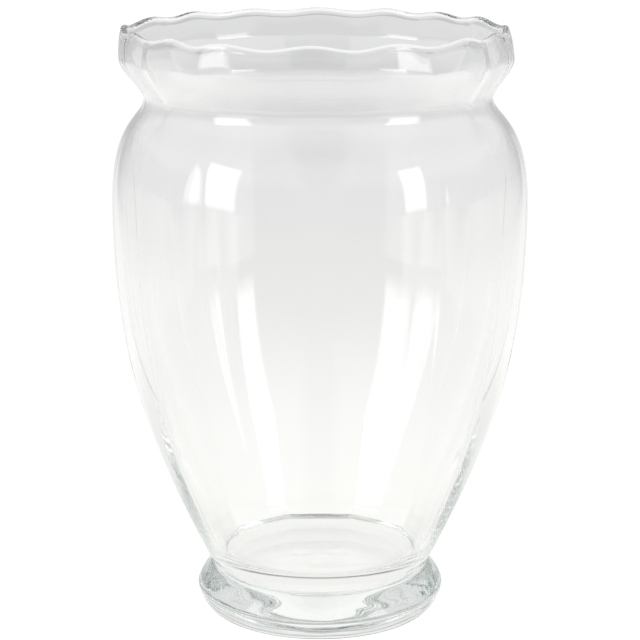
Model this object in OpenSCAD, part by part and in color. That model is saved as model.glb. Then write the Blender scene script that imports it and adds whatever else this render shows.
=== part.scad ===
// Glass vase: a blown body with soft lobes and a crimped mouth, standing on a solid applied foot.
// Millimetres, +Z up. The origin is the middle of the resting face.

/* [Foot] */
// Height of the foot, from the resting face to the seam with the body
foot_h = 23; // [16:0.5:34]
// Radius of the foot at its widest
foot_r = 61; // [59:0.5:76]
// Outer radius of the flat ring that the vase rests on
rest_r = 52; // [40:0.5:57]
// Width of that flat ring
rest_ring_w = 11.5; // [4:0.5:14]
// Depth of the shallow hollow under the foot
punt_h = 0.9; // [0.4:0.1:4]

/* [Seam] */
// Radius of the round seam where the body is fused to the foot
seam_r = 53; // [44:0.5:58]

/* [Body heights] */
// Height from the seam to the widest part of the body
bowl_h = 178; // [130:1:230]
// Height from the widest part of the body to the neck
shoulder_h = 55; // [44:0.5:80]
// Height from the neck to the widest part of the collar
collar_h = 18.7; // [14:0.1:26]
// Height from the widest part of the collar to where the rounded edge begins
lip_h = 11.7; // [8:0.1:20]

/* [Body radii] */
// Radius of the body at its widest, over the lobes
belly_r = 100; // [88:1:125]
// Radius of the neck, over the lobes
neck_r = 82.8; // [70:0.1:87]
// Radius of the collar at its widest, over the lobes
collar_r = 93; // [89:0.5:105]
// Radius of the rim where its rounded edge begins, midway between the crests and troughs of its crimps
rim_r = 91; // [87:0.5:104]
// Angle between the body wall and the upright, just above the seam
seam_flare = 27; // [10:1:40]
// Angle by which the wall leans inwards at the rim
lip_lean = 18; // [0:1:30]

/* [Wall] */
// Thickness of the wall from the belly up
wall_t = 2.6; // [2:0.1:3.6]
// Thickness of the wall just above the seam
heel_t = 5.1; // [3.6:0.1:8]
// Thickness of the body's floor above the seam
floor_t = 1.8; // [1.4:0.1:9]
// Height of the rounding between the wall and the floor inside
heel_h = 17.5; // [6:0.5:22]

/* [Lobes] */
// Number of lobes round the body, and of crimps round the rim
lobe_count = 16; // [8:1:16]
// Depth of the valley between two lobes
lobe_depth = 1.1; // [0.4:0.1:2]

/* [Crimped rim] */
// Height of a crimp, from its trough to its crest
crimp_rise = 2.6; // [1:0.1:5]
// Distance that a crest stands further out than a trough
crimp_swing = 0.8; // [0.4:0.1:3]
// Thickness of the rounded, fire-polished edge
bead_t = 3; // [2.2:0.1:4]

/* [Hidden] */

// Places along the axis
belly_z = foot_h + bowl_h;
neck_z = belly_z + shoulder_h;
collar_z = neck_z + collar_h;
rim_z = collar_z + lip_h;
floor_z = foot_h + floor_t;

// How long each curve keeps its end direction, as a share of the height that the curve climbs
foot_widest_share = 0.495;
foot_round_share = 0.21;
foot_rest_share = 0.57;
foot_top_share = 0.23;
bowl_start_share = 0.41;
bowl_end_share = 0.4;
shoulder_start_share = 0.835;
shoulder_end_share = 0.22;
collar_start_share = 0.21;
collar_end_share = 0.31;
lip_start_share = 0.5;
lip_end_share = 0.21;
heel_round_share = 0.73;

// The hollow under the foot is flat out to this share of its radius, then curves down to the ring
punt_flat_share = 0.94;
punt_power = 3;

// Lobes are shallower inside the wall than outside, and fade from the belly up to the collar
inner_lobe_share = 0.75;
collar_lobe_share = 0.4;
// The crimps begin at the neck and grow with this power of the height
crimp_power = 2;
// The thick glass at the heel thins out over this share of the bowl's height
heel_fade_share = 0.75;
// The lobes grow out of the round seam over this share of the bowl's height
lobe_fade_share = 0.3;

// Steps along each curve and round each lobe
lobe_steps = 6;
foot_steps = 10;
punt_steps = 6;
bowl_steps = 10;
shoulder_steps = 9;
collar_steps = 6;
lip_steps = 3;
bead_steps = 6;
inner_bowl_steps = 7;
inner_shoulder_steps = 6;
inner_collar_steps = 5;
inner_lip_steps = 2;
heel_steps = 6;
search_steps = 24;
foot_fn = 96;

around = lobe_count * lobe_steps;
lobe_angle = 360 / lobe_count;

// Outer curves of the body as [radius, height], from the seam up
bowl_curve = [
    [seam_r, foot_h],
    [seam_r + bowl_start_share * bowl_h * sin(seam_flare), foot_h + bowl_start_share * bowl_h * cos(seam_flare)],
    [belly_r, belly_z - bowl_end_share * bowl_h],
    [belly_r, belly_z]
];
shoulder_curve = [
    [belly_r, belly_z],
    [belly_r, belly_z + shoulder_start_share * shoulder_h],
    [neck_r, neck_z - shoulder_end_share * shoulder_h],
    [neck_r, neck_z]
];
collar_curve = [
    [neck_r, neck_z],
    [neck_r, neck_z + collar_start_share * collar_h],
    [collar_r, collar_z - collar_end_share * collar_h],
    [collar_r, collar_z]
];
lip_curve = [
    [collar_r, collar_z],
    [collar_r, collar_z + lip_start_share * lip_h],
    [rim_r + tan(lip_lean) * lip_end_share * lip_h, rim_z - lip_end_share * lip_h],
    [rim_r, rim_z]
];

// Outer curves of the foot, from the resting ring up to the seam
foot_widest_z = foot_widest_share * foot_h;
foot_lower_curve = [
    [rest_r, 0],
    [rest_r + foot_rest_share * (foot_r - rest_r), 0],
    [foot_r, foot_widest_z - foot_round_share * foot_widest_z],
    [foot_r, foot_widest_z]
];
foot_upper_curve = [
    [foot_r, foot_widest_z],
    [foot_r, foot_widest_z + foot_round_share * (foot_h - foot_widest_z)],
    [seam_r + foot_top_share * (foot_r - seam_r), foot_h],
    [seam_r, foot_h]
];

// Point, direction and inward normal on a cubic curve of four points, at t from 0 to 1
function on_curve(c, t) =
    let (u = 1 - t)
    u * u * u * c[0] + 3 * u * u * t * c[1] + 3 * u * t * t * c[2] + t * t * t * c[3];
function direction(c, t) =
    let (u = 1 - t, d = u * u * (c[1] - c[0]) + 2 * u * t * (c[2] - c[1]) + t * t * (c[3] - c[2]))
    d / norm(d);
function inward(c, t) =
    let (d = direction(c, t))
    [-d[1], d[0]];
function clamp01(x) = min(1, max(0, x));
function smooth(x) = x * x * (3 - 2 * x);

// Wall thickness at a height: thick at the heel, thinning out up the bowl
function wall_at(z) =
    wall_t + (heel_t - wall_t) * pow(1 - clamp01((z - foot_h) / (heel_fade_share * bowl_h)), 2);
function inner_point(c, t) =
    let (p = on_curve(c, t))
    p + wall_at(p[1]) * inward(c, t);

// Where the inner wall of the bowl reaches a height, found by halving
function inner_bowl_t(z, low = 0, high = 1, left = search_steps) =
    let (mid = (low + high) / 2)
    left == 0 ? mid
    : inner_point(bowl_curve, mid)[1] < z ? inner_bowl_t(z, mid, high, left - 1)
    : inner_bowl_t(z, low, mid, left - 1);

// How far the lobes and the crimps have grown at a height
function lobe_share_at(z) =
    smooth(clamp01((z - foot_h) / (lobe_fade_share * bowl_h)))
    * (1 - (1 - collar_lobe_share) * smooth(clamp01((z - belly_z) / (collar_z - belly_z))));
function crimp_share_at(z) = pow(clamp01((z - neck_z) / (rim_z - neck_z)), crimp_power);

// Valley is 0 on the crest of a lobe and 1 in the crease between two lobes
function valley(a) =
    let (off = abs(a / lobe_angle - round(a / lobe_angle)) / 0.5)
    off * off;

// One ring of the wall: profile point p, with lobes of the given depth and the crimps of that height
function ring(p, depth) =
    let (lobes = depth * lobe_share_at(p[1]), crimps = crimp_share_at(p[1]))
    [for (i = [0 : around - 1])
        let (
            a = i * lobe_angle / lobe_steps,
            wave = cos(a * lobe_count) / 2,
            r = p[0] - lobes * valley(a) + crimp_swing * crimps * wave
        )
        [r * cos(a), r * sin(a), p[1] + crimp_rise * crimps * wave]
    ];

// Profile of the body, up the outside, over the bead and down the inside
outer_profile = concat(
    [for (i = [0 : bowl_steps - 1]) on_curve(bowl_curve, i / bowl_steps)],
    [for (i = [0 : shoulder_steps - 1]) on_curve(shoulder_curve, i / shoulder_steps)],
    [for (i = [0 : collar_steps - 1]) on_curve(collar_curve, i / collar_steps)],
    [for (i = [0 : lip_steps - 1]) on_curve(lip_curve, i / lip_steps)]
);
bead_centre = [rim_r, rim_z] - bead_t / 2 * [cos(lip_lean), sin(lip_lean)];
bead_profile = [for (i = [0 : bead_steps])
    let (a = lip_lean + 180 * i / bead_steps)
    bead_centre + bead_t / 2 * [cos(a), sin(a)]
];
heel_top_t = inner_bowl_t(floor_z + heel_h);
inner_profile = concat(
    [for (i = [inner_lip_steps - 1 : -1 : 1]) inner_point(lip_curve, i / inner_lip_steps)],
    [for (i = [inner_collar_steps : -1 : 1]) inner_point(collar_curve, i / inner_collar_steps)],
    [for (i = [inner_shoulder_steps : -1 : 1]) inner_point(shoulder_curve, i / inner_shoulder_steps)],
    [for (i = [inner_bowl_steps : -1 : 1])
        inner_point(bowl_curve, heel_top_t + (1 - heel_top_t) * i / inner_bowl_steps)]
);

// Rounding from the inner wall to the flat floor
heel_top = inner_point(bowl_curve, heel_top_t);
heel_corner = heel_top - heel_h / direction(bowl_curve, heel_top_t)[1] * direction(bowl_curve, heel_top_t);
heel_curve = [
    heel_top,
    heel_top + heel_round_share * (heel_corner - heel_top),
    heel_corner - [(1 - heel_round_share) * heel_h, 0],
    heel_corner - [heel_h, 0]
];
heel_profile = [for (i = [0 : heel_steps]) on_curve(heel_curve, i / heel_steps)];

module applied_foot() {
    hollow_r = rest_r - rest_ring_w;
    outline = concat(
        [for (i = [0 : foot_steps - 1]) on_curve(foot_lower_curve, i / foot_steps)],
        [for (i = [0 : foot_steps]) on_curve(foot_upper_curve, i / foot_steps)],
        [[0, foot_h]],
        [[0, punt_h]],
        [for (i = [0 : punt_steps])
            let (share = punt_flat_share + (1 - punt_flat_share) * i / punt_steps)
            [hollow_r * share, punt_h * (1 - pow(i / punt_steps, punt_power))]
        ]
    );
    color([0.86, 0.91, 0.90, 0.6])
        rotate_extrude($fn = foot_fn)
            polygon(outline);
}

module blown_body() {
    inner_depth = lobe_depth * inner_lobe_share;
    rings = concat(
        [for (p = outer_profile) ring(p, lobe_depth)],
        [for (i = [0 : bead_steps])
            ring(bead_profile[i], lobe_depth + (inner_depth - lobe_depth) * i / bead_steps)],
        [for (p = concat(inner_profile, heel_profile)) ring(p, inner_depth)]
    );
    last = len(rings) - 1;
    walls = [for (row = [0 : last - 1], i = [0 : around - 1], half = [0, 1])
        let (j = (i + 1) % around, low = row * around, high = low + around)
        half == 0 ? [low + i, high + i, high + j] : [low + i, high + j, low + j]
    ];
    seat = [for (i = [0 : around - 1]) i];
    inside_floor = [for (i = [around - 1 : -1 : 0]) last * around + i];
    color([0.90, 0.94, 0.93, 0.5])
        polyhedron(
            points = [for (r = rings, p = r) p],
            faces = concat(walls, [seat], [inside_floor]),
            convexity = 6
        );
}

applied_foot();
blown_body();
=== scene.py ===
"""Dresses the glass vase: a blown, lobed body with a crimped rim, on a solid applied foot."""

import math

import bmesh
import bpy
from bpy.props import FloatProperty, FloatVectorProperty, IntProperty, PointerProperty
from mathutils import Matrix, Vector


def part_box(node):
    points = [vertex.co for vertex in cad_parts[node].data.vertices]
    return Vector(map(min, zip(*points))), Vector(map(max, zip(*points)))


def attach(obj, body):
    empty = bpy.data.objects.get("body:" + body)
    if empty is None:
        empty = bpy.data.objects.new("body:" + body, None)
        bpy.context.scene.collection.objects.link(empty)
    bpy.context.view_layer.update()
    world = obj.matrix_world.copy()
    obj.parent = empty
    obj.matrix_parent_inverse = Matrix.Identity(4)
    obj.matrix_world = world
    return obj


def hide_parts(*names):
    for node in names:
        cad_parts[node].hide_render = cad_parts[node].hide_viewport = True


bl_info = {
    "name": "Glass Vase",
    "version": (1, 0, 0),
    "blender": (4, 5, 0),
    "location": "View3D > Sidebar > Glass Vase",
    "description": "Builds a clear glass vase with a lobed body, a crimped rim and a solid foot",
    "category": "Add Mesh",
}

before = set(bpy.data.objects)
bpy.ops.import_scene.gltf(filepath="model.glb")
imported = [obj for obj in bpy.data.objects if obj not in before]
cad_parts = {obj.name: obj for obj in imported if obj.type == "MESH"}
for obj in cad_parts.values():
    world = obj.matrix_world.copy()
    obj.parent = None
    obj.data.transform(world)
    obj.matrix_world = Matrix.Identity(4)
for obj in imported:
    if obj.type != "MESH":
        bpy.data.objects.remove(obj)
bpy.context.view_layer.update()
BODY_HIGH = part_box("blown_body")[1]
FOOT_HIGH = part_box("applied_foot")[1]

# The rim was crimped by hand. Going round from the camera's side, this is how far each crest stands from
# its even place, in degrees, and how high it is as a share of the crimp rise
CRIMP_SHIFTS = (-1, 1, 4, -1, -3, 4, 1, -2, -1, -1, -2, -4, 3, 0, 0, -5)
CRIMP_HEIGHTS = (0.9, 1, 0.9, 0.6, 0.8, 0.7, 0.6, 0.75, 0.6, 0.5, 0.7, 0.5, 1, 0.8, 1, 0.9)

# Steps round the axis
STEPS_PER_LOBE = 16
FOOT_STEPS = 256
# Points this near are one, and edges this short are dissolved
SAME_PLACE = 1e-6
NO_LENGTH = 1e-7

# Waves in the glass: how many there are in a metre, and how much closer they lie going up than going round
BLOWN_WAVES = (14, 0.25)
TOOLED_WAVES = (22, 2)
WAVE_HEIGHT = 0.001

# The floor, and the stretch of it along Y, in front of the vase's axis and behind it, whose light changes
FLOOR_HALF_SIZE = 8
FLOOR_FRONT = -1
FLOOR_BACK = 4
# Brightness of the floor to the camera, a little over white so that no shade of grey is left
FLOOR_SEEN = 1.05

# The room ends and the backdrop starts at these values of a direction's Y, which is -1 on the camera's
# side and 1 behind the vase, and they blend in between
ROOM_ENDS = -0.6
BACKDROP_STARTS = 0.5
# A direction meets a side wall by its X or by this share of its Z, whichever is less
SIDE_HEIGHT = 0.7

# Light has to pass many walls of glass, and the seam's clear faces besides
GLASS_BOUNCES = 160
CLEAR_BOUNCES = 64

# The camera's sensor, in millimetres, and how far the camera sees
SENSOR_WIDTH = 36
VIEW_DEPTH = 100


# Sizes, finishes and studio settings

class VaseShape(bpy.types.PropertyGroup):
    """Sizes of the vase, in metres, with its widest radii from the frame"""

    lobe_count: IntProperty(
        name="Lobes", description="Lobes round the body and crimps round the rim", default=16, min=6,
        max=24)
    lobe_depth: FloatProperty(
        name="Lobe depth", description="Depth of the crease between two lobes", default=0.0011,
        unit="LENGTH")
    belly_radius: FloatProperty(
        name="Belly radius", description="Radius of the body at its widest", default=BODY_HIGH.x,
        unit="LENGTH")
    neck_radius: FloatProperty(
        name="Neck radius", description="Radius of the neck", default=0.0828, unit="LENGTH")
    collar_radius: FloatProperty(
        name="Collar radius", description="Radius of the collar at its widest", default=0.093,
        unit="LENGTH")
    rim_radius: FloatProperty(
        name="Rim radius", description="Outer radius of the rim, midway through a crimp", default=0.091,
        unit="LENGTH")
    seam_radius: FloatProperty(
        name="Seam radius", description="Radius of the seam between the body and the foot", default=0.053,
        unit="LENGTH")
    seam_flare: FloatProperty(
        name="Seam flare", description="Angle between the wall and the upright, just above the seam",
        default=math.radians(27), unit="ROTATION")
    bowl_height: FloatProperty(
        name="Bowl height", description="From the seam up to the widest part", default=0.178, unit="LENGTH")
    shoulder_height: FloatProperty(
        name="Shoulder height", description="From the widest part up to the neck", default=0.055,
        unit="LENGTH")
    collar_height: FloatProperty(
        name="Collar height", description="From the neck up to the widest part of the collar",
        default=0.0187, unit="LENGTH")
    lip_height: FloatProperty(
        name="Lip height", description="From the widest part of the collar up to the rim", default=0.0117,
        unit="LENGTH")
    lip_lean: FloatProperty(
        name="Lip lean", description="Angle by which the wall leans inwards at the rim",
        default=math.radians(18), unit="ROTATION")
    wall: FloatProperty(
        name="Wall", description="Thickness of the wall from the belly up", default=0.0026, unit="LENGTH")
    heel_wall: FloatProperty(
        name="Heel wall", description="Thickness of the wall just above the seam", default=0.0051,
        unit="LENGTH")
    floor_thickness: FloatProperty(
        name="Floor", description="Thickness of the body's floor above the seam", default=0.0018,
        unit="LENGTH")
    heel_height: FloatProperty(
        name="Heel rounding", description="Height of the rounding between wall and floor inside",
        default=0.0175, unit="LENGTH")
    bead: FloatProperty(
        name="Bead", description="Thickness of the fire-polished edge", default=0.003, unit="LENGTH")
    crimp_rise: FloatProperty(
        name="Crimp rise", description="Height of a crimp from trough to crest", default=0.0025,
        unit="LENGTH")
    crimp_swing: FloatProperty(
        name="Crimp swing", description="How far a crest stands out past a trough", default=0.0008,
        unit="LENGTH")
    lean: FloatProperty(
        name="Lean", description="How far the rim stands off the axis, to the left", default=0.0024,
        unit="LENGTH")
    foot_radius: FloatProperty(
        name="Foot radius", description="Radius of the foot at its widest", default=FOOT_HIGH.x,
        unit="LENGTH")
    rest_radius: FloatProperty(
        name="Resting radius", description="Outer radius of the ring the vase rests on", default=0.052,
        unit="LENGTH")
    rest_ring: FloatProperty(
        name="Resting ring", description="Width of the ring the vase rests on", default=0.03, unit="LENGTH")
    punt: FloatProperty(
        name="Punt", description="Depth of the hollow under the foot", default=0.0005, unit="LENGTH")


class VaseGlass(bpy.types.PropertyGroup):
    """Finish of the glass"""

    tint: FloatVectorProperty(
        name="Tint", description="Colour that the clear glass lets through", subtype="COLOR",
        default=(0.97, 0.972, 0.968), min=0, max=1)
    body_colour: FloatVectorProperty(
        name="Colour in depth", description="Colour that long paths through the glass take on",
        subtype="COLOR", default=(0.5, 0.65, 0.6), min=0, max=1)
    absorption: FloatProperty(
        name="Absorption", description="How fast light is lost inside the glass, per metre", default=0.8,
        min=0)
    ior: FloatProperty(
        name="Index of refraction", description="How strongly the glass bends light", default=1.5, min=1,
        max=2)
    ripple: FloatProperty(
        name="Ripple", description="Strength of the faint waves that blowing leaves", default=0.22, min=0,
        max=1)
    tool_marks: FloatProperty(
        name="Tool marks", description="Strength of the marks that the tools leave round the foot",
        default=0.9, min=0, max=1)


class VaseStudio(bpy.types.PropertyGroup):
    """Camera and light"""

    camera_distance: FloatProperty(
        name="Camera distance", description="Camera to the vase's axis, along Y", default=1.0125,
        unit="LENGTH")
    camera_height: FloatProperty(
        name="Camera height", description="Camera above the floor", default=0.3915, unit="LENGTH")
    camera_pitch: FloatProperty(
        name="Camera pitch", description="How far the camera looks down", default=math.radians(13.69),
        unit="ROTATION")
    lens: FloatProperty(
        name="Lens", description="Focal length on a 36 mm sensor", default=120.1, unit="CAMERA")
    softbox_distance: FloatProperty(
        name="Softbox distance", description="Softboxes to the vase's axis", default=1.3, unit="LENGTH")
    left_azimuth: FloatProperty(
        name="Left azimuth", description="Angle of the left softbox off the camera's side",
        default=math.radians(-57.3), unit="ROTATION")
    left_spread: FloatProperty(
        name="Left spread", description="Angle that the left softbox spans sideways",
        default=math.radians(27), unit="ROTATION")
    right_azimuth: FloatProperty(
        name="Right azimuth", description="Angle of the right softbox off the camera's side",
        default=math.radians(54), unit="ROTATION")
    right_spread: FloatProperty(
        name="Right spread", description="Angle that the right softbox spans sideways",
        default=math.radians(19), unit="ROTATION")
    softbox_low: FloatProperty(
        name="Softbox low edge", description="Height of the softboxes' lower edge", default=0.18,
        unit="LENGTH")
    softbox_high: FloatProperty(
        name="Softbox high edge", description="Height of the softboxes' upper edge", default=0.98,
        unit="LENGTH")
    softbox_fade: FloatProperty(
        name="Softbox fade", description="Share of a softbox's width and height over which its edges fade",
        default=0.1, min=0.01, max=0.5)
    floor_gap: FloatProperty(
        name="Floor gap", description="Air between the resting ring and the floor", default=0.0003,
        unit="LENGTH")
    beyond_table: FloatProperty(
        name="Beyond the table", description="Share of light from the floor past the table's sides",
        default=0.8, min=0, max=1)
    table_front: FloatProperty(
        name="Table front", description="Brightness of the ground in front of the table", default=0.34,
        min=0)
    contact: FloatProperty(
        name="Contact shade",
        description="Share of light from the floor in a thin arc in front of the vase", default=0.3, min=0,
        max=1)
    under_foot: FloatProperty(
        name="Under the foot", description="Share of light from the floor under the foot", default=0.88,
        min=0, max=1)
    glow: FloatProperty(
        name="Glow", description="Brightness of the floor in front of each softbox", default=0.97, min=0)
    cast_shade: FloatProperty(
        name="Cast shade",
        description="Share of light in the two shadows that the vase casts behind itself", default=0.8,
        min=0, max=1)
    room_low: FloatProperty(
        name="Room, low", description="Brightness of the room behind the camera, at the horizon",
        default=0.25, min=0)
    room_middle: FloatProperty(
        name="Room, middle", description="Brightness of the room halfway up", default=0.42, min=0)
    room_high: FloatProperty(
        name="Room, high", description="Brightness of the room overhead, in front", default=0.08, min=0)
    room_sides: FloatProperty(
        name="Room, sides", description="Brightness of the room's sides, from a third of the way up",
        default=0.85, min=0)
    backdrop: FloatProperty(
        name="Backdrop", description="Brightness of the backdrop behind the vase", default=1, min=0)
    softbox_radiance: FloatProperty(
        name="Softbox brightness", description="How many times brighter than the white floor", default=3,
        min=0)


# Curves

def on_curve(curve, t):
    """Point on a cubic curve of four points, at t from 0 to 1."""
    u = 1 - t
    return u * u * u * curve[0] + 3 * u * u * t * curve[1] + 3 * u * t * t * curve[2] + t * t * t * curve[3]


def direction(curve, t):
    """Unit direction of the curve at t."""
    u = 1 - t
    slope = u * u * (curve[1] - curve[0]) + 2 * u * t * (curve[2] - curve[1]) + t * t * (curve[3] - curve[2])
    return slope.normalized()


def inward(curve, t):
    """Unit normal of the curve at t, towards the vase's axis."""
    along = direction(curve, t)
    return Vector((-along.y, along.x))


def stepped(curve, steps, start=0.0, end=1.0):
    """Places along a curve as (curve, t), without the last one."""
    return [(curve, start + (end - start) * i / steps) for i in range(steps)]


def clamp01(x):
    """The number, held between 0 and 1."""
    return min(1.0, max(0.0, x))


def smooth(x):
    """Eases a share from 0 to 1 in and out."""
    return x * x * (3 - 2 * x)


class BodyForm:
    """The body's curves, and the growth of its wall, lobes and crimps."""

    # Handles of the curves, lower and upper, as shares of the height that the curve climbs
    BOWL_HANDLES = (0.41, 0.4)
    SHOULDER_HANDLES = (0.835, 0.22)
    COLLAR_HANDLES = (0.21, 0.31)
    LIP_HANDLES = (0.5, 0.21)
    # How far the inside of the heel is drawn into its corner
    HEEL_ROUND = 0.73

    # How far up the bowl, as a share of its height, the wall thins, the lobes grow outside and inside,
    # and their creases widen
    HEEL_FADE = 0.75
    LOBE_FADE = 0.7
    INNER_FADE = 0.75
    CREASE_FADE = 0.75
    # How narrow the creases are at the seam, and from the belly up
    LOW_POWER = 5
    HIGH_POWER = 2
    # The lobes' depth inside, and on the collar, as a share of the depth on the belly. Below nought the
    # lobes are flats that meet in corners.
    INNER_LOBE = 0.75
    COLLAR_LOBE = -1
    # Where the lobes begin to turn into the collar's flats, as a share of the shoulder's height
    LOBE_TURN = 0.2

    # How fast the crimps grow above the neck, and the lean above the belly
    CRIMP_POWER = 2
    LEAN_POWER = 2.5

    # Steps along the bowl, shoulder, collar and lip, outside and inside. The inside starts this share of
    # the way up the lip.
    OUTER_STEPS = (34, 20, 14, 6)
    INNER_STEPS = (26, 18, 12, 4)
    INNER_LIP_START = 0.8
    BEAD_STEPS = 10
    HEEL_STEPS = 12
    HALVINGS = 40

    def __init__(self, shape):
        self.shape = shape
        self.seam_z = FOOT_HIGH.z
        self.belly_z = self.seam_z + shape.bowl_height
        self.neck_z = self.belly_z + shape.shoulder_height
        self.collar_z = self.neck_z + shape.collar_height
        self.rim_z = self.collar_z + shape.lip_height
        self.floor_z = self.seam_z + shape.floor_thickness
        low, high = (share * shape.bowl_height for share in self.BOWL_HANDLES)
        self.bowl = [
            Vector((shape.seam_radius, self.seam_z)),
            Vector((shape.seam_radius + low * math.sin(shape.seam_flare),
                    self.seam_z + low * math.cos(shape.seam_flare))),
            Vector((shape.belly_radius, self.belly_z - high)),
            Vector((shape.belly_radius, self.belly_z)),
        ]
        low, high = (share * shape.shoulder_height for share in self.SHOULDER_HANDLES)
        self.shoulder = [
            self.bowl[3],
            Vector((shape.belly_radius, self.belly_z + low)),
            Vector((shape.neck_radius, self.neck_z - high)),
            Vector((shape.neck_radius, self.neck_z)),
        ]
        low, high = (share * shape.collar_height for share in self.COLLAR_HANDLES)
        self.collar = [
            self.shoulder[3],
            Vector((shape.neck_radius, self.neck_z + low)),
            Vector((shape.collar_radius, self.collar_z - high)),
            Vector((shape.collar_radius, self.collar_z)),
        ]
        low, high = (share * shape.lip_height for share in self.LIP_HANDLES)
        self.lip = [
            self.collar[3],
            Vector((shape.collar_radius, self.collar_z + low)),
            Vector((shape.rim_radius + math.tan(shape.lip_lean) * high, self.rim_z - high)),
            Vector((shape.rim_radius, self.rim_z)),
        ]

    def up_bowl(self, z, share):
        """How far a height has come up a share of the bowl's height, from 0 at the seam to 1."""
        return clamp01((z - self.seam_z) / (share * self.shape.bowl_height))

    def wall_at(self, z):
        """Thickness of the wall at a height."""
        thick = 1 - self.up_bowl(z, self.HEEL_FADE)
        return self.shape.wall + (self.shape.heel_wall - self.shape.wall) * thick * thick

    def inner_point(self, curve, t):
        """Point on the inside of the wall, behind the place t on an outer curve."""
        point = on_curve(curve, t)
        return point + self.wall_at(point.y) * inward(curve, t)

    def inner_bowl_t(self, z):
        """Where the inner wall of the bowl reaches a height, found by halving."""
        low, high = 0.0, 1.0
        for _ in range(self.HALVINGS):
            middle = (low + high) / 2
            if self.inner_point(self.bowl, middle).y < z:
                low = middle
            else:
                high = middle
        return low

    def lobe_share(self, z):
        """How far the lobes have grown at a height: from the seam up, and into flats at the collar."""
        grown = smooth(self.up_bowl(z, self.LOBE_FADE))
        turn_z = self.belly_z + self.LOBE_TURN * self.shape.shoulder_height
        faded = smooth(clamp01((z - turn_z) / (self.collar_z - turn_z)))
        return grown * (1 - (1 - self.COLLAR_LOBE) * faded)

    def inner_lobe(self, z):
        """Share of the lobes' depth that shows on the inside, which is smooth at the heel."""
        return self.INNER_LOBE * smooth(self.up_bowl(z, self.INNER_FADE))

    def lobe_power(self, z):
        """How narrow the creases are at a height."""
        low = 1 - self.up_bowl(z, self.CREASE_FADE)
        return self.HIGH_POWER + (self.LOW_POWER - self.HIGH_POWER) * smooth(low)

    def crimp_share(self, z):
        """How far the crimps have grown at a height."""
        return clamp01((z - self.neck_z) / (self.rim_z - self.neck_z)) ** self.CRIMP_POWER

    def crimp_wave(self, angle):
        """Height of the crimps at an angle from the camera's side, from minus a half to a half."""
        even = 360 / self.shape.lobe_count
        place = math.degrees(angle) % 360 / even

        def crest(k):
            return k * even + CRIMP_SHIFTS[k % len(CRIMP_SHIFTS)]

        k = math.floor(place)
        if place * even < crest(k):
            k -= 1
        elif place * even >= crest(k + 1):
            k += 1
        along = (place * even - crest(k)) / (crest(k + 1) - crest(k))
        near, far = (CRIMP_HEIGHTS[i % len(CRIMP_HEIGHTS)] for i in (k, k + 1))
        return (near + (far - near) * smooth(along)) * math.cos(math.tau * along) / 2

    def leaning(self, z):
        """How far the axis has moved at a height."""
        risen = clamp01((z - self.belly_z) / (self.rim_z - self.belly_z))
        return -self.shape.lean * risen ** self.LEAN_POWER

    def profile(self):
        """The closed outline of the wall as (radius, height, lobe depth), from the seat to the floor."""
        shape = self.shape
        depth = shape.lobe_depth
        curves = (self.bowl, self.shoulder, self.collar, self.lip)
        rows = [(0.0, self.seam_z, 0.0), (shape.seam_radius, self.seam_z, 0.0)]
        outside = [place for curve, steps in zip(curves, self.OUTER_STEPS)
                   for place in stepped(curve, steps)]
        for curve, t in outside[1:]:
            point = on_curve(curve, t)
            rows.append((point.x, point.y, depth))
        half = shape.bead / 2
        for i in range(self.BEAD_STEPS + 1):
            share = i / self.BEAD_STEPS
            turn = shape.lip_lean + math.pi * share
            rows.append((shape.rim_radius - half * math.cos(shape.lip_lean) + half * math.cos(turn),
                         self.rim_z - half * math.sin(shape.lip_lean) + half * math.sin(turn),
                         depth * (1 + (self.INNER_LOBE - 1) * share)))
        heel_t = self.inner_bowl_t(self.floor_z + shape.heel_height)
        starts = (1.0, 1.0, 1.0, self.INNER_LIP_START)
        ends = (heel_t, 0.0, 0.0, 0.0)
        inside = list(zip(curves, self.INNER_STEPS, starts, ends))
        for curve, steps, start, end in reversed(inside):
            for _, t in stepped(curve, steps, start, end):
                point = self.inner_point(curve, t)
                rows.append((point.x, point.y, depth * self.inner_lobe(point.y)))
        top = self.inner_point(self.bowl, heel_t)
        along = direction(self.bowl, heel_t)
        corner = top - along * (shape.heel_height / along.y)
        heel = [
            top,
            top + self.HEEL_ROUND * (corner - top),
            corner - Vector(((1 - self.HEEL_ROUND) * shape.heel_height, 0)),
            corner - Vector((shape.heel_height, 0)),
        ]
        for i in range(self.HEEL_STEPS + 1):
            point = on_curve(heel, i / self.HEEL_STEPS)
            rows.append((point.x, point.y, depth * self.inner_lobe(point.y)))
        rows.append((0.0, self.floor_z, 0.0))
        return rows


def foot_profile(shape):
    """The closed outline of the foot as (radius, height, 0), from the hollow below to the seam disc."""
    # The widest ring as a share of the foot's height, and the handles as shares of the curves' own sizes
    widest_share = 0.495
    lower_handle, upper_handle, side_handle = 0.57, 0.23, 0.21
    punt_steps, side_steps = 16, 24
    top = FOOT_HIGH.z
    widest_z = widest_share * top
    lower = [
        Vector((shape.rest_radius, 0)),
        Vector((shape.rest_radius + lower_handle * (shape.foot_radius - shape.rest_radius), 0)),
        Vector((shape.foot_radius, widest_z - side_handle * widest_z)),
        Vector((shape.foot_radius, widest_z)),
    ]
    upper = [
        lower[3],
        Vector((shape.foot_radius, widest_z + side_handle * (top - widest_z))),
        Vector((shape.seam_radius + upper_handle * (shape.foot_radius - shape.seam_radius), top)),
        Vector((shape.seam_radius, top)),
    ]
    hollow = shape.rest_radius - shape.rest_ring
    rows = []
    for i in range(punt_steps + 1):
        share = i / punt_steps
        rows.append((hollow * share, shape.punt * (1 - share * share), 0.0))
    for curve, t in stepped(lower, side_steps) + stepped(upper, side_steps) + [(upper, 1.0)]:
        point = on_curve(curve, t)
        rows.append((point.x, point.y, 0.0))
    rows.append((0.0, top, 0.0))
    return rows


# Meshes

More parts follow.
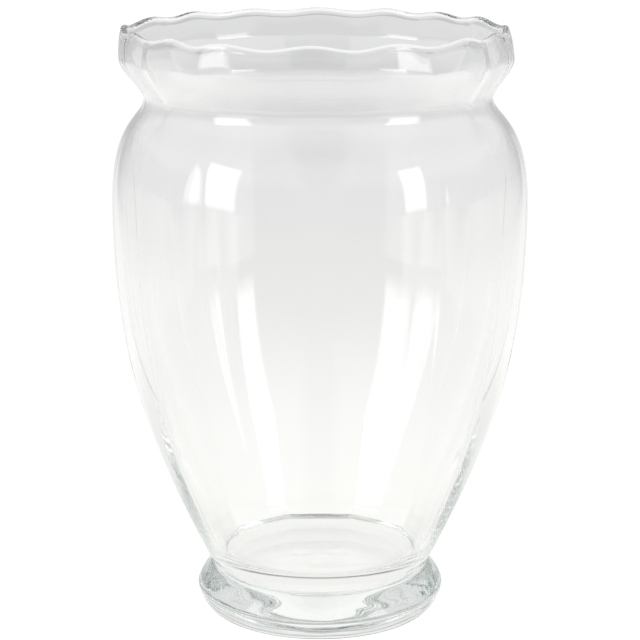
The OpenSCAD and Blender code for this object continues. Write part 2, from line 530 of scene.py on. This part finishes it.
def spun_piece(rows, steps):
    """A closed solid of revolution from an outline of (radius, height, lobe depth) rows."""
    bm = bmesh.new()
    depth_layer = bm.verts.layers.float.new("lobe_depth")
    line = []
    for radius, height, depth in rows:
        vert = bm.verts.new((radius, 0, height))
        vert[depth_layer] = depth
        line.append(vert)
    edges = [bm.edges.new(pair) for pair in zip(line, line[1:])]
    bmesh.ops.spin(bm, geom=line + edges, cent=(0, 0, 0), axis=(0, 0, 1), dvec=(0, 0, 0),
                   angle=math.tau, steps=steps, use_merge=True, use_duplicate=False)
    bmesh.ops.remove_doubles(bm, verts=bm.verts, dist=SAME_PLACE)
    bmesh.ops.dissolve_degenerate(bm, dist=NO_LENGTH, edges=bm.edges)
    bmesh.ops.recalc_face_normals(bm, faces=bm.faces)
    for face in bm.faces:
        face.smooth = True
    return bm


def draw_lobes(bm, form):
    """Draws the round body in at its creases, and gives its rim the crimps and the lean."""
    shape = form.shape
    depth_layer = bm.verts.layers.float["lobe_depth"]
    lobe_angle = math.tau / shape.lobe_count
    for vert in bm.verts:
        radius = math.hypot(vert.co.x, vert.co.y)
        if radius < SAME_PLACE:
            continue
        angle = math.atan2(vert.co.y, vert.co.x)
        # Nought is the middle of a lobe, and one is a crease
        off = abs(angle / lobe_angle - round(angle / lobe_angle)) * 2
        lobes = vert[depth_layer] * form.lobe_share(vert.co.z)
        # The camera's side is a quarter turn before X
        wave = form.crimp_wave(angle + math.pi / 2)
        crimps = form.crimp_share(vert.co.z)
        moved = radius - lobes * off ** form.lobe_power(vert.co.z) + shape.crimp_swing * crimps * wave
        vert.co.x = vert.co.x * moved / radius + form.leaning(vert.co.z)
        vert.co.y *= moved / radius
        vert.co.z += shape.crimp_rise * crimps * wave


def shown(bm, name, materials):
    """A finished object from a bmesh, at the origin."""
    mesh = bpy.data.meshes.new(name)
    bm.to_mesh(mesh)
    bm.free()
    for material in materials:
        mesh.materials.append(material)
    piece = bpy.data.objects.new(name, mesh)
    bpy.context.scene.collection.objects.link(piece)
    return piece


def clear_seam(bm, height):
    """Gives the flat faces at the seam the second material, so that the fused glass looks whole."""
    for face in bm.faces:
        if all(abs(vert.co.z - height) < SAME_PLACE for vert in face.verts):
            face.material_index = 1


# Materials

def ripple_group():
    """Node group: the faint waves in worked glass, as a height, drawn out upright or round the axis."""
    group = bpy.data.node_groups.get("hand_ripple")
    if group:
        return group
    group = bpy.data.node_groups.new("hand_ripple", "ShaderNodeTree")
    group.interface.new_socket("Scale", in_out="INPUT", socket_type="NodeSocketFloat")
    group.interface.new_socket("Upright", in_out="INPUT", socket_type="NodeSocketFloat")
    group.interface.new_socket("Height", in_out="OUTPUT", socket_type="NodeSocketFloat")
    nodes, links = group.nodes, group.links
    entry = nodes.new("NodeGroupInput")
    leave = nodes.new("NodeGroupOutput")
    coords = nodes.new("ShaderNodeTexCoord")
    stretch = nodes.new("ShaderNodeMapping")
    axes = nodes.new("ShaderNodeCombineXYZ")
    axes.inputs["X"].default_value = 1
    axes.inputs["Y"].default_value = 1
    links.new(entry.outputs["Upright"], axes.inputs["Z"])
    links.new(axes.outputs["Vector"], stretch.inputs["Scale"])
    waves = nodes.new("ShaderNodeTexNoise")
    waves.inputs["Detail"].default_value = 2
    links.new(coords.outputs["Object"], stretch.inputs["Vector"])
    links.new(stretch.outputs["Vector"], waves.inputs["Vector"])
    links.new(entry.outputs["Scale"], waves.inputs["Scale"])
    links.new(waves.outputs["Fac"], leave.inputs["Height"])
    return group


def glass_material(name, glass, strength, waves):
    """Clear glass with faint waves, which darkens a little in depth."""
    scale, upright = waves
    material = bpy.data.materials.new(name)
    material.use_nodes = True
    nodes, links = material.node_tree.nodes, material.node_tree.links
    shader = nodes["Principled BSDF"]
    shader.inputs["Base Color"].default_value = (*glass.tint, 1)
    shader.inputs["Metallic"].default_value = 0
    shader.inputs["Roughness"].default_value = 0
    shader.inputs["IOR"].default_value = glass.ior
    shader.inputs["Transmission Weight"].default_value = 1
    ripple = nodes.new("ShaderNodeGroup")
    ripple.node_tree = ripple_group()
    ripple.inputs["Scale"].default_value = scale
    ripple.inputs["Upright"].default_value = upright
    bump = nodes.new("ShaderNodeBump")
    bump.inputs["Strength"].default_value = strength
    bump.inputs["Distance"].default_value = WAVE_HEIGHT
    links.new(ripple.outputs["Height"], bump.inputs["Height"])
    links.new(bump.outputs["Normal"], shader.inputs["Normal"])
    depth = nodes.new("ShaderNodeVolumeAbsorption")
    depth.inputs["Color"].default_value = (*glass.body_colour, 1)
    depth.inputs["Density"].default_value = glass.absorption
    links.new(depth.outputs["Volume"], nodes["Material Output"].inputs["Volume"])
    return material


def seam_material():
    """Clear material for the seam's faces, which don't show because the glass is fused there."""
    material = bpy.data.materials.get("fused_seam")
    if material:
        return material
    material = bpy.data.materials.new("fused_seam")
    material.use_nodes = True
    shader = material.node_tree.nodes["Principled BSDF"]
    shader.inputs["Alpha"].default_value = 0
    return material


def tone_ramp(tree, stops):
    """A colour ramp from (place, brightness) or (place, colour) stops."""
    ramp = tree.nodes.new("ShaderNodeValToRGB")
    elements = ramp.color_ramp.elements
    while len(elements) < len(stops):
        elements.new(0.5)
    for element, (place, tone) in zip(elements, stops):
        element.position = place
        element.color = (*tone, 1) if isinstance(tone, tuple) else (tone, tone, tone, 1)
    return ramp


def combined(tree, operation, first, second):
    """Output of a node that joins two values by an operation."""
    node = tree.nodes.new("ShaderNodeMath")
    node.operation = operation
    for socket, value in zip(node.inputs, (first, second)):
        if isinstance(value, (int, float)):
            socket.default_value = value
        else:
            tree.links.new(value, socket)
    return node.outputs["Value"]


def ramped(tree, value, stops):
    """Colour of a ramp at a value."""
    ramp = tone_ramp(tree, stops)
    tree.links.new(value, ramp.inputs["Fac"])
    return ramp.outputs["Color"]


def floor_material(studio):
    """White ground: plain white to the camera, and to the glass a lit table in a dimmer room."""
    material = bpy.data.materials.new("pale_floor")
    material.use_nodes = True
    tree = material.node_tree
    nodes, links = tree.nodes, tree.links
    nodes.remove(nodes["Principled BSDF"])
    coords = nodes.new("ShaderNodeTexCoord")
    split = nodes.new("ShaderNodeSeparateXYZ")
    links.new(coords.outputs["Object"], split.inputs["Vector"])
    x, y = split.outputs["X"], split.outputs["Y"]
    reach = nodes.new("ShaderNodeVectorMath")
    reach.operation = "LENGTH"
    links.new(coords.outputs["Object"], reach.inputs[0])
    away = reach.outputs["Value"]
    aside = combined(tree, "ABSOLUTE", x, 0)

    # The table's light, from in front of it to the back, and past its sides
    depth = nodes.new("ShaderNodeMapRange")
    depth.inputs["From Min"].default_value = FLOOR_FRONT
    depth.inputs["From Max"].default_value = FLOOR_BACK
    links.new(y, depth.inputs["Value"])
    along = ramped(tree, depth.outputs["Result"], [
        (0.09, studio.table_front), (0.16, 1.04), (0.23, 1.06), (0.28, 1.01), (0.36, 0.96), (0.52, 0.86),
        (0.76, 0.74)])
    across = ramped(tree, aside, [(0.6, 1), (0.95, studio.beyond_table)])

    # Each softbox lights a band of the floor. A bearing of nought is the camera's side, and one is
    # straight behind the vase.
    turned = combined(tree, "ARCTAN2", aside, combined(tree, "MULTIPLY", y, -1))
    bearing = combined(tree, "DIVIDE", turned, math.pi)
    lit_band = ramped(tree, bearing, [(0.2, 0), (0.25, studio.glow), (0.36, studio.glow), (0.42, 0)])
    table = combined(tree, "MAXIMUM", combined(tree, "MULTIPLY", along, across), lit_band)

    # The vase's two shadows: their bearings behind it, and their reach in metres from its axis
    shade = 1 - studio.cast_shade
    shade_band = ramped(tree, bearing, [(0.55, 0), (0.61, 1), (0.74, 1), (0.83, 0)])
    shade_reach = ramped(tree, away, [(0.055, 0), (0.09, shade), (0.22, shade), (0.42, 0)])
    cast = combined(tree, "SUBTRACT", 1, combined(tree, "MULTIPLY", shade_band, shade_reach))

    # The shade where the vase stands, in a thin arc in front of it and under its foot
    near = ramped(tree, away, [(0.0515, 0), (0.053, 1), (0.058, 1), (0.066, 0)])
    in_front = ramped(tree, bearing, [(0.3, 1 - studio.contact), (0.5, 0)])
    contact = combined(tree, "SUBTRACT", 1, combined(tree, "MULTIPLY", near, in_front))
    under = ramped(tree, away, [
        (0.02, 0.97), (0.035, studio.under_foot), (0.05, studio.under_foot), (0.08, 1)])
    strength = combined(tree, "MULTIPLY", combined(tree, "MULTIPLY", table, cast),
                        combined(tree, "MULTIPLY", contact, under))

    lit = nodes.new("ShaderNodeEmission")
    links.new(strength, lit.inputs["Strength"])
    links.new(ramped(tree, depth.outputs["Result"], [
        (0.2, (1, 1, 0.975)), (0.4, (1, 0.998, 1)), (0.7, (0.99, 0.99, 1))]), lit.inputs["Color"])
    plain = nodes.new("ShaderNodeEmission")
    plain.inputs["Strength"].default_value = FLOOR_SEEN
    path = nodes.new("ShaderNodeLightPath")
    mix = nodes.new("ShaderNodeMixShader")
    links.new(path.outputs["Is Camera Ray"], mix.inputs["Fac"])
    links.new(lit.outputs["Emission"], mix.inputs[1])
    links.new(plain.outputs["Emission"], mix.inputs[2])
    links.new(mix.outputs["Shader"], nodes["Material Output"].inputs["Surface"])
    return material


def softbox_light(studio, width, height):
    """A rectangular light whose brightness fades at its edges."""
    light = bpy.data.lights.new("softbox", "AREA")
    light.shape = "RECTANGLE"
    light.size = width
    light.size_y = height
    light.energy = studio.softbox_radiance * width * height * math.pi
    light.use_nodes = True
    tree = light.node_tree
    place = tree.nodes.new("ShaderNodeNewGeometry")
    split = tree.nodes.new("ShaderNodeSeparateXYZ")
    tree.links.new(place.outputs["Parametric"], split.inputs["Vector"])
    edge = studio.softbox_fade
    stops = [(0, 0), (edge, 1), (1 - edge, 1), (1, 0)]
    fades = [ramped(tree, split.outputs[side], stops) for side in ("X", "Y")]
    tree.links.new(combined(tree, "MULTIPLY", *fades), tree.nodes["Emission"].inputs["Strength"])
    return light


def surroundings(tree, studio):
    """The room: a pale backdrop behind the vase, and a dimmer studio in front and above."""
    nodes, links = tree.nodes, tree.links
    coords = nodes.new("ShaderNodeTexCoord")
    split = nodes.new("ShaderNodeSeparateXYZ")
    links.new(coords.outputs["Generated"], split.inputs["Vector"])
    x, y, z = (split.outputs[axis] for axis in "XYZ")

    front = ramped(tree, z, [
        (0, studio.room_low), (0.5, studio.room_middle), (0.68, studio.room_middle),
        (0.82, studio.room_high)])
    behind = ramped(tree, z, [
        (0.12, 0.55), (0.22, 0.66), (0.34, studio.backdrop), (0.95, studio.backdrop)])
    turn = nodes.new("ShaderNodeMapRange")
    turn.inputs["From Min"].default_value = ROOM_ENDS
    turn.inputs["From Max"].default_value = BACKDROP_STARTS
    blend = nodes.new("ShaderNodeMix")
    blend.data_type = "RGBA"
    links.new(y, turn.inputs["Value"])
    links.new(turn.outputs["Result"], blend.inputs["Factor"])
    links.new(front, blend.inputs["A"])
    links.new(behind, blend.inputs["B"])

    slant = combined(tree, "ABSOLUTE", x, 0)
    rise = combined(tree, "MULTIPLY", z, SIDE_HEIGHT)
    sides = ramped(tree, combined(tree, "MINIMUM", slant, rise), [(0.16, 0), (0.28, 1)])
    walls = nodes.new("ShaderNodeMix")
    walls.data_type = "RGBA"
    links.new(sides, walls.inputs["Factor"])
    links.new(blend.outputs["Result"], walls.inputs["A"])
    walls.inputs["B"].default_value = (*3 * [studio.room_sides], 1)
    links.new(walls.outputs["Result"], nodes["Background"].inputs["Color"])


# Operators

class VASE_OT_blown_body(bpy.types.Operator):
    """Build the blown body with its lobes, collar and crimped rim"""

    bl_idname = "vase.blown_body"
    bl_label = "Blown Body"

    def execute(self, context):
        shape = context.scene.vase_shape
        form = BodyForm(shape)
        bm = spun_piece(form.profile(), shape.lobe_count * STEPS_PER_LOBE)
        draw_lobes(bm, form)
        clear_seam(bm, form.seam_z)
        finish = context.scene.vase_glass
        glass = glass_material("body_glass", finish, finish.ripple, BLOWN_WAVES)
        piece = shown(bm, "vase_body", [glass, seam_material()])
        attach(piece, "root")
        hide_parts("blown_body")
        return {"FINISHED"}


class VASE_OT_applied_foot(bpy.types.Operator):
    """Build the solid round foot"""

    bl_idname = "vase.applied_foot"
    bl_label = "Applied Foot"

    def execute(self, context):
        shape = context.scene.vase_shape
        bm = spun_piece(foot_profile(shape), FOOT_STEPS)
        clear_seam(bm, FOOT_HIGH.z)
        finish = context.scene.vase_glass
        glass = glass_material("foot_glass", finish, finish.tool_marks, TOOLED_WAVES)
        piece = shown(bm, "vase_foot", [glass, seam_material()])
        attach(piece, "root")
        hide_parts("applied_foot")
        return {"FINISHED"}


class VASE_OT_studio(bpy.types.Operator):
    """Build the floor, the light and the camera"""

    bl_idname = "vase.studio"
    bl_label = "Studio"

    def execute(self, context):
        scene = context.scene
        studio = scene.vase_studio
        bm = bmesh.new()
        bmesh.ops.create_grid(bm, x_segments=1, y_segments=1, size=FLOOR_HALF_SIZE)
        floor = shown(bm, "floor", [floor_material(studio)])
        floor.location.z = -studio.floor_gap

        world = bpy.data.worlds.new("studio_air")
        scene.world = world
        world.use_nodes = True
        surroundings(world.node_tree, studio)

        height = studio.softbox_high - studio.softbox_low
        for azimuth, spread in ((studio.left_azimuth, studio.left_spread),
                                (studio.right_azimuth, studio.right_spread)):
            width = 2 * studio.softbox_distance * math.tan(spread / 2)
            lamp = bpy.data.objects.new("softbox", softbox_light(studio, width, height))
            scene.collection.objects.link(lamp)
            middle = Vector((studio.softbox_distance * math.sin(azimuth),
                             -studio.softbox_distance * math.cos(azimuth),
                             studio.softbox_low + height / 2))
            # A light shines along its own -Z, here towards the vase's axis
            away = Vector((middle.x, middle.y, 0))
            turned = away.to_track_quat("Z", "Y").to_matrix().to_4x4()
            lamp.matrix_world = Matrix.Translation(middle) @ turned

        camera_data = bpy.data.cameras.new("camera")
        camera_data.sensor_width = SENSOR_WIDTH
        camera_data.lens = studio.lens
        camera_data.clip_end = VIEW_DEPTH
        camera = bpy.data.objects.new("camera", camera_data)
        scene.collection.objects.link(camera)
        camera.location = (0, -studio.camera_distance, studio.camera_height)
        camera.rotation_euler = (math.pi / 2 - studio.camera_pitch, 0, 0)
        scene.camera = camera

        scene.view_settings.view_transform = "Standard"
        scene.cycles.max_bounces = GLASS_BOUNCES
        scene.cycles.transmission_bounces = GLASS_BOUNCES
        scene.cycles.glossy_bounces = GLASS_BOUNCES
        scene.cycles.transparent_max_bounces = CLEAR_BOUNCES
        return {"FINISHED"}


class VASE_PT_sidebar(bpy.types.Panel):
    """Lists the vase's sizes and builders"""

    bl_label = "Glass Vase"
    bl_space_type = "VIEW_3D"
    bl_region_type = "UI"
    bl_category = "Glass Vase"

    def draw(self, context):
        layout = self.layout
        for group in (context.scene.vase_shape, context.scene.vase_glass, context.scene.vase_studio):
            box = layout.box()
            for name in group.__annotations__:
                box.prop(group, name)
        for operator in OPERATORS:
            layout.operator(operator.bl_idname)


GROUPS = {"vase_shape": VaseShape, "vase_glass": VaseGlass, "vase_studio": VaseStudio}
OPERATORS = (VASE_OT_blown_body, VASE_OT_applied_foot, VASE_OT_studio)


def register():
    for cls in (*GROUPS.values(), *OPERATORS, VASE_PT_sidebar):
        bpy.utils.register_class(cls)
    for name, group in GROUPS.items():
        setattr(bpy.types.Scene, name, PointerProperty(type=group))


def unregister():
    for name in GROUPS:
        delattr(bpy.types.Scene, name)
    for cls in (VASE_PT_sidebar, *reversed(OPERATORS), *reversed(GROUPS.values())):
        bpy.utils.unregister_class(cls)


def main():
    """Builds the vase and its stage."""
    register()
    bpy.ops.vase.blown_body()
    bpy.ops.vase.applied_foot()
    bpy.ops.vase.studio()


if __name__ == "__main__":
    main()
